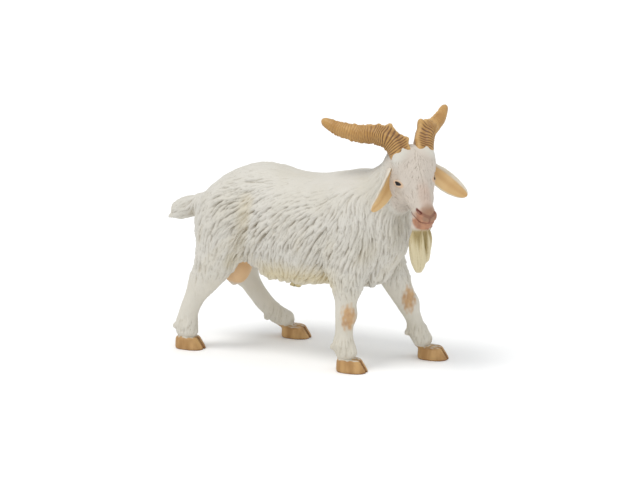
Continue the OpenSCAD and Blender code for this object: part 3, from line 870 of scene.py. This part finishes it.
parts = {}
for k, name in enumerate(NAMES):
    faces = coat.q[label == k]
    used, inverse = np.unique(faces, return_inverse=True)
    q = inverse.reshape(faces.shape)
    p, b, n, g, h = coat.p[used], base_points[used], n1[used], groove[used], hollow[used]
    if name == "head":
        out, q, rim = refine(p, [b, g, h], q)
        p, b, g, h = out[:, :3], out[:, 3:6], out[:, 6], out[:, 7]
        skin = Skin(p, q)
        n = skin.normals()
        n[:len(rim)][rim] = n1[used][rim]
        f = to_face(b)
        own = regions(b)
        folded = f * np.sign(f[:, 1:2] + 1e-9) ** [0, 1, 0]
        keep = own["head"] * (1 - own["crown"]) * ramp(f[:, 0], 19.5, 16.5)
        keep = keep * (1 - blob(folded, EYES[-1], [2.8, 2.8, 2.8], 1.25, 0.85))
        face_hair = carve(b, 0.95, 4.4, 0.34, 7, keep, 14, swing=0.5)
        p = p + n * (0.32 * keep * (face_hair - 0.4))[:, None]
        g = np.maximum(g * (1 - keep), keep * np.clip(0.5 - face_hair, 0, 1) * 0.7)
        skin.p = p
        rim_normals = n[:len(rim)][rim]
        n = skin.normals()
        n[:len(rim)][rim] = rim_normals
        h = skin.smooth(((skin.spread(p) - p) * n).sum(1) / (VOXEL * 0.5), 1)
    parts[name] = [p, q, n, dict(paint(b), groove=g, hollow=h)]


def place_in_scene(name):
    p, q, n, v = parts[name]
    caps = []
    for loop in boundary_loops(q):  # close the seat with a shallow fan
        if len(loop) < 3:
            continue
        centre = p[loop].mean(0)
        p = np.vstack([p, centre])
        n = np.vstack([n, unit(centre - p[:-1].mean(0))])
        v = {key: np.append(val, val[loop].mean()) for key, val in v.items()}
        nxt = np.roll(loop, -1)
        caps.append(np.stack([nxt, loop, np.full(len(loop), len(p) - 1)], -1))
    obj = make_object(name + "_skin", p, [q] + caps, n, v)
    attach(obj, "root")
    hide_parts(name)
    return obj


skins = [place_in_scene(name) for name in NAMES]


# ---------------- horns

HORN_STEP = 0.11
RING_GAP = 0.86


def frames(c, ref):
    """Directions along a curve and across it, the first across nearest to ref."""
    t = unit(np.gradient(c, axis=0))
    f = unit(ref - (t @ ref)[:, None] * t)
    return t, f, np.cross(t, f)


def tube_faces(rings, sides, flip):
    """Quads along a tube of points, ring by ring, and fans to the two points that follow them."""
    i = np.arange(rings - 1)[:, None] * sides
    j = np.arange(sides)[None]
    k = (j + 1) % sides
    here = np.arange(sides)
    after = np.roll(here, -1)
    last = (rings - 1) * sides
    quads = np.stack([i + j, i + k, i + sides + k, i + sides + j], -1).reshape(-1, 4)
    start = np.stack([after, here, np.full(sides, rings * sides)], -1)
    end = np.stack([last + here, last + after, np.full(sides, rings * sides + 1)], -1)
    return [f[:, ::-1] if flip else f for f in (quads, start, end)]


def bell(v, centre, width):
    return np.exp(-((v - centre) / width) ** 2)


def horn(name, mirror, rise, peaks, slim):
    """A ringed horn: rise lifts its tip, peaks are two knobs on its keel, slim narrows its end."""
    s = fair(HORN, 60)
    c, r = s[:, :3], s[:, 3]
    arc = np.r_[0, np.cumsum(np.linalg.norm(np.diff(c, axis=0), axis=1))]
    even = np.arange(0, arc[-1], HORN_STEP)
    c = np.stack([np.interp(even, arc, c[:, i]) for i in range(3)], -1)
    r = np.interp(even, arc, r)
    c[:, 2] += rise * (even / even[-1]) ** 2
    r = r * (1 - slim * ramp(even / even[-1], 0.42, 0.62))
    _, f, w = frames(c, LEVEL_X)
    sides = 144
    a = np.linspace(0, 2 * math.pi, sides, endpoint=False)[None]
    l = even[:, None]
    share = l / even[-1]
    wrap = lambda v: (v + math.pi) % (2 * math.pi) - math.pi
    k1 = np.radians(np.interp(even, [0, 5, 10, 14, 24, 40], [48, 55, 84, 92, 100, 108]))[:, None]
    k2 = k1 + np.radians(172)
    grown = ramp(l, 6.5, 10.0)
    bumpy = 0.5 * np.sin(l * 2.1 + 1.0) + 0.3 * np.sin(l * 3.7) + 0.35 * np.sin(l * 1.3 + 2)
    keel, under = bell(wrap(a - k1), 0, 0.36), bell(wrap(a - k2), 0, 0.45)
    knob = peaks[0] * bell(l, 12.2, 1.1) + peaks[1] * bell(l, 7.4, 0.9)
    knob = knob + 0.45 * bell(l, 15.4, 0.8) - 0.35 * bell(l, 9.6, 0.8)
    shape = 0.93 + (0.20 - 0.10 * ramp(share, 0.5, 0.8)) * keel
    shape = shape + 0.13 * under * (1 - 0.6 * share) - 0.05 * np.cos(2 * (a - k1))
    shape = shape - 0.13 * bell(wrap(a - k1 + 0.85), 0, 0.26) * ramp(l, 13, 9)
    shape = shape - 0.07 * bell(wrap(a - k1 - 0.8), 0, 0.3) * ramp(l, 15, 9)
    # The growth rings wander round the horn.
    drift = 0.34 * np.sin(a - 1.0 + 3 * share) + 0.12 * np.sin(2 * a + 5 * share) + 0.3 * keel
    phase = 2 * math.pi * ((l - drift) / RING_GAP) + 1.6 * np.sin(l * 0.9)
    phase = phase + 0.9 * np.sin(2 * a + 0.8 * l) + 0.5 * np.sin(3 * a - 1.7 * l)
    ring = (0.5 + 0.5 * np.cos(phase)) ** 0.75
    minor = 0.5 + 0.5 * np.cos(2 * phase + 1.3 + 2 * np.sin(3 * a))
    worn = ramp(share, 0.84, 0.97)
    strength = (0.10 + 0.12 * bell(share, 0.22, 0.16)) * (1 - 0.5 * keel) + 0.08 * under
    depth = strength * (1 - worn) * np.clip(r[:, None] / 3.0, 0.35, 1) * grown
    rough = 0.06 * np.sin(7 * a + 2.3 * l) * np.sin(3.1 * l + 2 * a) + 0.05 * np.sin(11 * a - 1.7 * l)
    rr = r[:, None] * shape + depth * (ring - 0.6) * 1.3
    rr = rr + 0.04 * (minor - 0.5) * (1 - worn) + rough * (1 - worn) * grown
    rr = rr + keel * (knob + 0.20 * bumpy * (1 - worn) * grown)
    rr = rr + under * 0.24 * bumpy * grown * (1 - ramp(share, 0.7, 0.9))
    tip = np.clip((even[-1] - l) / 1.5, 0, 1)
    rr = rr * np.sqrt(np.clip(1 - (1 - tip) ** 2, 0.0004, 1))
    p = c[:, None] + rr[..., None] * (f[:, None] * np.cos(a)[..., None] + w[:, None] * np.sin(a)[..., None])
    rings = len(p)
    p = p.reshape(-1, 3) * [1, -1 if mirror else 1, 1]
    end = p[-sides:].mean(0)
    p = np.vstack([p, p[:sides].mean(0), end + unit(end - p[-9 * sides:-8 * sides].mean(0)) * 0.08])
    flat = lambda v: np.append(np.broadcast_to(v, ring.shape).ravel(), [0.5, 0.5])
    channel = bell(wrap(a - k1 + 0.8), 0, 0.45) * ramp(share, 0.5, 0.2) + 0.6 * under * ramp(share, 0.2, 0.4)
    v = {"groove": flat((1 - ring) * ramp(l, 3.6, 5.5)), "share": flat(share),
         "ridge": flat(np.maximum(keel, 0.6 * under)), "channel": flat(channel)}
    obj = make_object(name + "_skin", from_level(p), tube_faces(rings, sides, mirror), None, v)
    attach(obj, "root")
    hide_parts(name)
    return obj


# ---------------- ears

def ear(name, mirror, reach, drop, sway, band):
    """A drooping ear from its root to a tip that far forward, outward and down."""
    root_face = np.array([3.3, -6.9, -4.8])
    c, s = math.cos(HEAD_DROP), math.sin(HEAD_DROP)
    root = np.array([root_face[0] * c + root_face[2] * s, root_face[1], -root_face[0] * s + root_face[2] * c])
    tip = root + np.array([reach[0], -reach[1], -drop])
    u = np.linspace(0, 1, 90)
    mid = (root + tip) / 2 + np.asarray(sway)
    line = (1 - u[:, None]) ** 2 * root + 2 * (u * (1 - u))[:, None] * mid + u[:, None] ** 2 * tip
    facing = np.array([0.94, 0.34, 0.0])
    t = unit(np.gradient(line, axis=0))
    broad = unit(np.cross(t, facing))
    thin = np.cross(broad, t)
    half = np.interp(u, [0, 0.1, 0.25, 0.45, 0.62, 0.8, 0.92, 0.98, 1],
                     [2.4, 2.8, 3.4, 3.5, 3.2, 2.5, 1.75, 0.95, 0.3])
    thick = np.interp(u, [0, 0.2, 0.7, 1], [1.25, 0.8, 0.5, 0.2])
    curl = np.interp(u, [0, 0.15, 0.45, 0.8, 1], [1.3, 1.5, 1.15, 0.5, 0.1])
    sides = 72
    a = np.linspace(0, 2 * math.pi, sides, endpoint=False)
    x = np.cos(a)[None] * half[:, None]
    rel = np.cos(a)[None]
    rim = np.exp(-((np.abs(rel) - 0.93) / 0.06) ** 2)
    y = np.sin(a)[None] * thick[:, None] + curl[:, None] * rel**2 - 0.25 * curl[:, None]
    inner = (np.sin(a)[None] > 0) * np.ones_like(x)
    y = y + inner * 0.10 * rim
    veins = 0.05 * np.sin(rel * 9 + 2 * u[:, None]) * inner * ramp(u, 0.1, 0.3)[:, None]
    fur = 0.05 * (1 - inner) * np.sin(rel * 26 + 3 * np.sin(u[:, None] * 9))
    y = y + veins + fur
    p = line[:, None] + broad[:, None] * x[..., None] + thin[:, None] * y[..., None]
    rings = len(p)
    p = p.reshape(-1, 3) * [1, -1 if mirror else 1, 1]
    p = np.vstack([p, p[:sides].mean(0), p[-sides:].mean(0)])
    flat = lambda v: np.append(np.broadcast_to(v, x.shape).ravel(), [0.0, 0.0])
    painted = np.clip(inner * (1 - 1.2 * rim) * (1 - ramp(rel, band, band + 0.3)), 0, 1)
    v = {"inner": flat(painted), "fold": flat(1 - np.abs(rel))}
    obj = make_object(name + "_skin", from_level(p), tube_faces(rings, sides, not mirror), None, v)
    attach(obj, "root")
    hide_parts(name)
    return obj


horns = [horn("horn_right", False, -0.7, (1.25, 1.15), 0.0), horn("horn_left", True, 1.0, (2.0, 0.5), 0.14)]
ears = [ear("ear_right", False, (3.6, 9.6), 12.6, (0.6, 1.6, -1.8), 0.62),
        ear("ear_left", True, (5.0, 12.4), 10.2, (0.3, -0.4, -1.2), 0.50)]


# ---------------- paint

def rgb(r, g, b):
    """sRGB 0..255 to linear."""
    return (*[((v / 255 + 0.055) / 1.055) ** 2.4 if v > 10 else v / 255 / 12.92 for v in (r, g, b)], 1.0)


class Nodes:
    """Short hand for building a material's node tree."""

    def __init__(self, name):
        self.mat = bpy.data.materials.new(name)
        self.mat.use_nodes = True
        self.t = self.mat.node_tree
        self.bsdf = self.t.nodes["Principled BSDF"]
        self.coord = self.t.nodes.new("ShaderNodeTexCoord").outputs["Object"]

    def put(self, socket, value):
        if isinstance(value, bpy.types.NodeSocket):
            self.t.links.new(value, socket)
        else:
            socket.default_value = value

    def value(self, key):
        n = self.t.nodes.new("ShaderNodeAttribute")
        n.attribute_name = key
        return n.outputs["Fac"]

    def math(self, op, a, b, clamp=False):
        n = self.t.nodes.new("ShaderNodeMath")
        n.operation, n.use_clamp = op, clamp
        self.put(n.inputs[0], a)
        self.put(n.inputs[1], b)
        return n.outputs[0]

    def times(self, a, b, clamp=False):
        return self.math("MULTIPLY", a, b, clamp)

    def span(self, v, a, b, lo=0.0, hi=1.0):
        n = self.t.nodes.new("ShaderNodeMapRange")
        n.interpolation_type = "SMOOTHSTEP"
        self.put(n.inputs["Value"], v)
        for key, x in (("From Min", a), ("From Max", b), ("To Min", lo), ("To Max", hi)):
            n.inputs[key].default_value = x
        return n.outputs["Result"]

    def mix(self, fac, a, b):
        n = self.t.nodes.new("ShaderNodeMix")
        n.data_type, n.clamp_factor = "RGBA", True
        self.put(n.inputs["Factor"], fac)
        self.put(n.inputs[6], a)
        self.put(n.inputs[7], b)
        return n.outputs[2]

    def noise(self, scale, detail=3.0, rough=0.5, stretch=None, turn=None):
        v = self.coord
        if stretch or turn:
            m = self.t.nodes.new("ShaderNodeMapping")
            m.vector_type = "TEXTURE" if turn else "POINT"
            self.put(m.inputs["Vector"], v)
            if turn:
                m.inputs["Rotation"].default_value = turn
            if stretch:
                m.inputs["Scale"].default_value = stretch
            v = m.outputs[0]
        n = self.t.nodes.new("ShaderNodeTexNoise")
        self.put(n.inputs["Vector"], v)
        n.inputs["Scale"].default_value = scale
        n.inputs["Detail"].default_value = detail
        n.inputs["Roughness"].default_value = rough
        return n.outputs["Fac"]

    def over(self, col, key, share, paint):
        """A further paint over the colour so far, where the mesh value of that name says."""
        return self.mix(self.times(self.value(key), share), col, paint)

    def finish(self, col, rough, normal):
        for key, v in (("Base Color", col), ("Roughness", rough), ("Normal", normal)):
            self.put(self.bsdf.inputs[key], v)
        return self.mat

    def bump(self, height, distance, strength=1.0, under=None):
        n = self.t.nodes.new("ShaderNodeBump")
        n.inputs["Strength"].default_value = strength
        n.inputs["Distance"].default_value = distance
        self.put(n.inputs["Height"], height)
        if under is not None:
            self.put(n.inputs["Normal"], under)
        return n.outputs["Normal"]


def coat_paint():
    m = Nodes("painted_coat")
    grain = m.noise(420, 4)
    blotch = m.noise(70, 2)
    white = m.mix(m.span(blotch, 0.35, 0.7), rgb(203, 199, 190), rgb(198, 193, 181))
    white = m.over(white, "white", 0.8, rgb(195, 183, 171))
    creases = m.times(m.span(m.value("hollow"), 0.0, 0.14), 0.4)
    grooves = m.math("ADD", m.times(m.value("groove"), 0.75), creases, clamp=True)
    grooves = m.times(grooves, m.span(grain, 0.2, 0.65, 0.65, 1.0), clamp=True)
    deep = m.mix(m.value("warm"), rgb(152, 142, 124), rgb(160, 134, 76))
    # Beige tint over the fold, low patches and legs, with painted light at the far hind leg and painted shade
    # on the legs: lighter, warmer grooves and a warmer coat.
    deep = m.mix(m.value("tint_and_painted_shading"), deep, rgb(166, 148, 110))
    col = m.over(white, "warm", 0.6, rgb(212, 196, 150))
    col = m.over(col, "tint_and_painted_shading", 0.55, rgb(202, 191, 164))
    col = m.over(col, "beard", 0.55, rgb(200, 186, 146))
    col = m.mix(m.times(grooves, 0.9), col, deep)
    col = m.mix(m.times(m.times(m.value("beard"), m.value("groove")), 0.8), col, rgb(150, 132, 84))
    tan = m.mix(m.span(grain, 0.3, 0.7), rgb(192, 151, 98), rgb(170, 124, 72))
    col = m.mix(m.value("tan"), col, tan)
    bare = m.mix(m.span(blotch, 0.3, 0.7), rgb(214, 184, 146), rgb(200, 162, 118))
    col = m.mix(m.value("pouch"), col, bare)
    pink = m.mix(m.span(grain, 0.3, 0.7), rgb(176, 121, 86), rgb(148, 93, 64))
    col = m.over(col, "skin", 0.9, pink)
    col = m.over(col, "snout", 0.7, rgb(142, 113, 90))
    col = m.mix(m.value("dark"), col, rgb(104, 48, 34))
    layers = m.noise(300, 3, stretch=(1, 1, 0.25))
    hoof = m.mix(m.span(layers, 0.35, 0.7), rgb(188, 150, 98), rgb(156, 116, 68))
    col = m.mix(m.value("hoof"), col, m.mix(m.span(m.value("hollow"), -0.02, -0.16), hoof, rgb(128, 88, 50)))
    col = m.mix(m.value("lid"), col, rgb(204, 160, 112))
    col = m.mix(m.value("eye"), col, rgb(14, 9, 8))
    rough = m.math("ADD", m.times(m.value("eye"), -0.42), m.times(grain, 0.12))
    m.bsdf.inputs["IOR"].default_value = 1.46
    strands = m.noise(900, 3, 0.6, stretch=(1.0, 1.0, 0.18), turn=(0, math.radians(-35), 0))
    furry = m.math("SUBTRACT", 1.0, m.math("MAXIMUM", m.value("eye"), m.value("hoof")), clamp=True)
    under = m.bump(grain, 0.00003, 0.5)
    return m.finish(col, m.math("ADD", rough, 0.5), m.bump(m.times(strands, furry), 0.00012, 0.5, under))


def horn_paint():
    m = Nodes("painted_horn")
    grain = m.noise(500, 4)
    streak = m.noise(160, 3)
    light = m.mix(m.span(streak, 0.35, 0.7), rgb(190, 149, 87), rgb(166, 123, 63))
    light = m.mix(m.span(m.value("share"), 0.02, 0.16, 0.45, 0.0), light, rgb(196, 156, 112))
    elbow = m.times(m.span(m.value("share"), 0.04, 0.16), m.span(m.value("share"), 0.30, 0.50, 1.0, 0.0))
    light = m.mix(m.times(elbow, 0.45), light, rgb(168, 126, 66))
    light = m.over(light, "channel", 0.55, rgb(128, 84, 38))
    dark = m.mix(m.span(m.value("share"), 0.35, 0.7), rgb(96, 60, 28), rgb(150, 106, 58))
    g = m.times(m.span(m.value("groove"), 0.25, 0.85), m.span(grain, 0.15, 0.6, 0.6, 1.0))
    g = m.times(g, m.span(m.value("share"), 0.30, 0.55, 0.95, 0.6))
    g = m.times(g, m.span(m.value("share"), 0.80, 0.97, 1.0, 0.2))
    g = m.times(g, m.span(m.value("ridge"), 0.35, 0.9, 1.0, 0.25))
    col = m.mix(g, light, dark)
    # Painted highlight: the keel ridges are painted lighter.
    col = m.mix(m.times(m.span(m.value("ridge"), 0.4, 1.0), 0.35), col, rgb(218, 180, 120))
    return m.finish(col, m.math("ADD", m.times(grain, 0.15), 0.42), m.bump(grain, 0.00006, 0.5))


def ear_paint():
    m = Nodes("painted_ear")
    grain = m.noise(420, 4)
    blotch = m.noise(110, 2)
    back = m.mix(m.span(grain, 0.3, 0.7), rgb(216, 208, 194), rgb(204, 194, 174))
    inside = m.mix(m.span(blotch, 0.3, 0.7), rgb(213, 179, 127), rgb(197, 159, 105))
    inside = m.mix(m.span(m.value("fold"), 0.55, 1.0, 0.0, 0.5), inside, rgb(188, 144, 88))
    col = m.mix(m.value("inner"), back, inside)
    down = m.noise(800, 3, 0.6, stretch=(1, 1, 0.2))
    return m.finish(col, m.math("ADD", m.times(grain, 0.1), 0.5), m.bump(down, 0.0001, 0.5))


def floor_paint():
    m = Nodes("floor_white")
    cloud = m.span(m.noise(3, 2), 0.3, 0.7)
    m.put(m.bsdf.inputs["Base Color"], m.mix(cloud, (0.955, 0.955, 0.955, 1), (0.965, 0.965, 0.965, 1)))
    m.bsdf.inputs["Roughness"].default_value = 0.65
    return m.mat


for pieces, material in ((skins, coat_paint()), (horns, horn_paint()), (ears, ear_paint())):
    for piece in pieces:
        piece.data.materials.append(material)


# ---------------- camera, light and floor

def aim(obj, target):
    obj.rotation_euler = (Vector(target) - Vector(obj.location)).to_track_quat("-Z", "Y").to_euler()


AZ, EL, DISTANCE = math.radians(26), math.radians(14), 700.0
back = np.array([math.sin(AZ) * math.cos(EL), -math.cos(AZ) * math.cos(EL), math.sin(EL)])
look = np.array([12.96, -29.97, 38.0])
eye = look + back * DISTANCE
side = unit(np.cross(-back, UP))
aimed = look + side * 3.4 + np.cross(side, -back) * 9.5
cam_data = bpy.data.cameras.new("camera")
cam_data.sensor_width = 36
cam_data.lens = 115.8
cam_data.clip_start, cam_data.clip_end = 0.01, 50
cam = bpy.data.objects.new("camera", cam_data)
cam.location = eye * MM
bpy.context.scene.collection.objects.link(cam)
bpy.context.view_layer.update()
aim(cam, aimed * MM)
bpy.context.scene.camera = cam


def sun(name, towards, strength, angle, colour=(1, 1, 1)):
    data = bpy.data.lights.new(name, "SUN")
    data.energy, data.angle, data.color = strength, math.radians(angle), colour
    obj = bpy.data.objects.new(name, data)
    bpy.context.scene.collection.objects.link(obj)
    obj.rotation_euler = Vector(towards).to_track_quat("Z", "Y").to_euler()


sun("key", (-0.22, -0.32, 0.92), 1.40, 24, (1, 0.99, 0.975))
sun("rim", (0.5, 0.3, 0.8), 0.30, 40)
sun("fill", (0.50, -0.78, 0.36), 0.30, 30)
world = bpy.data.worlds.new("studio")
bpy.context.scene.world = world
world.use_nodes = True
world.node_tree.nodes["Background"].inputs["Color"].default_value = (0.965, 0.985, 1, 1)
world.node_tree.nodes["Background"].inputs["Strength"].default_value = 0.73

FLOOR_HALF = 6
floor_mesh = bpy.data.meshes.new("floor")
corners = [(x * FLOOR_HALF, y * FLOOR_HALF, 0) for x, y in ((-1, -1), (1, -1), (1, 1), (-1, 1))]
floor_mesh.from_pydata(corners, [], [(0, 1, 2, 3)])
floor = bpy.data.objects.new("floor", floor_mesh)
bpy.context.scene.collection.objects.link(floor)
floor_mesh.materials.append(floor_paint())
bpy.context.scene.view_settings.view_transform = "Standard"
